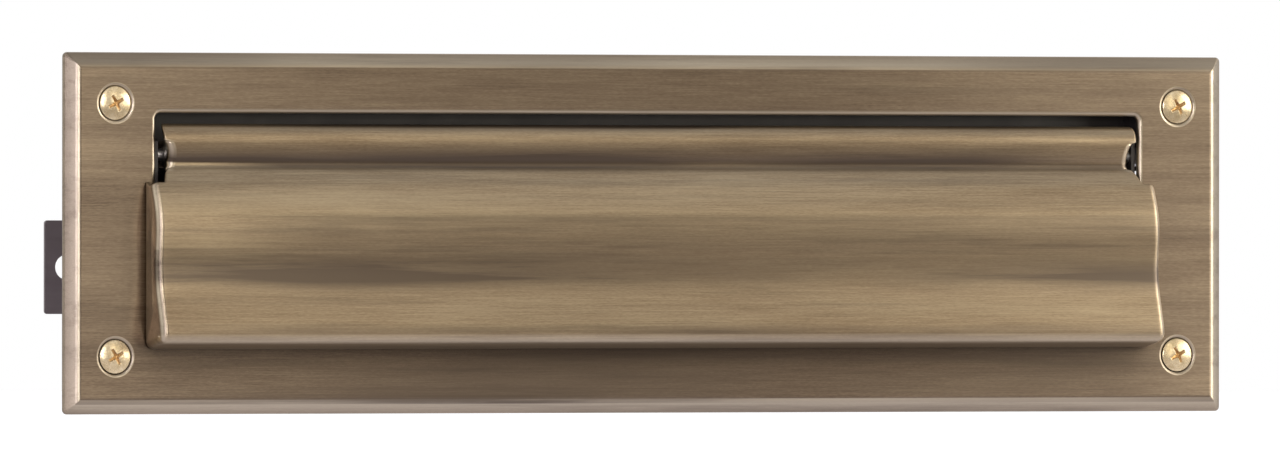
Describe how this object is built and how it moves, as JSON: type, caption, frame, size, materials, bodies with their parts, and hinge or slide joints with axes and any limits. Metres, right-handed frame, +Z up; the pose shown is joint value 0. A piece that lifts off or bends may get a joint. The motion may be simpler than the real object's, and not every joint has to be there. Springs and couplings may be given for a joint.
{
  "type": "wall mail slot with sprung flap",
  "caption": "Long bevelled letter plate with a spring-closed, moulded flap on a hinge rod and a telescoping sleeve that lines the cut-out of a door or wall.",
  "frame": {"origin": "middle of the plate's rim, in the plane where the rim seats on the door's outer face", "axes": "+X along the plate, +Y into the door, +Z up, so the flap faces -Y"},
  "size_m": [0.3302, 0.059, 0.0922],
  "materials": {
    "plate_brass": "antique brass, fine brushed grain along the length, lacquered",
    "flap_brass": "antique brass, fine brushed grain along the length, lacquered",
    "screw_brass": "brass plated, bright edges, darkened recess",
    "zinc_steel": "bright zinc plate, lightly mottled",
    "cap_steel": "zinc plated spring steel",
    "rivet_steel": "plain set steel",
    "spring_steel": "oiled music wire",
    "sleeve_black": "satin black enamel on folded steel sheet",
    "hood_black": "matt black dip paint on folded steel sheet"
  },
  "bodies": {
    "plate": {"face_plate": "plate_brass", "hinge_bracket_left": "hood_black", "hinge_bracket_right": "hood_black", "hinge_hood": "hood_black", "hinge_rod": "zinc_steel", "mounting_screw_left_lower": "screw_brass", "mounting_screw_left_upper": "screw_brass", "mounting_screw_right_lower": "screw_brass", "mounting_screw_right_upper": "screw_brass", "rod_cap_left": "cap_steel", "rod_cap_right": "cap_steel", "sleeve_front": "sleeve_black", "sleeve_rivet_left_lower": "rivet_steel", "sleeve_rivet_left_upper": "rivet_steel", "sleeve_rivet_right_lower": "rivet_steel", "sleeve_rivet_right_upper": "rivet_steel", "torsion_spring_left": "spring_steel", "torsion_spring_right": "spring_steel"},
    "flap": {"flap": "flap_brass"},
    "rear_sleeve": {"sleeve_rear": "sleeve_black"}
  },
  "joints": [
    {"name": "flap_hinge", "type": "hinge", "parent": "plate", "child": "flap", "pos_m": [0, 0.0012, 0.0201], "axis": [-1, 0, 0], "range_deg": [0, 100], "stiffness_Nm_per_rad": 0.08, "springref_deg": -60.16, "deforming": ["torsion_spring_left", "torsion_spring_right"]},
    {"name": "sleeve_slide", "type": "slide", "parent": "plate", "child": "rear_sleeve", "axis": [0, 1, 0], "range_m": [-0.0095, 0.0063]}
  ]
}
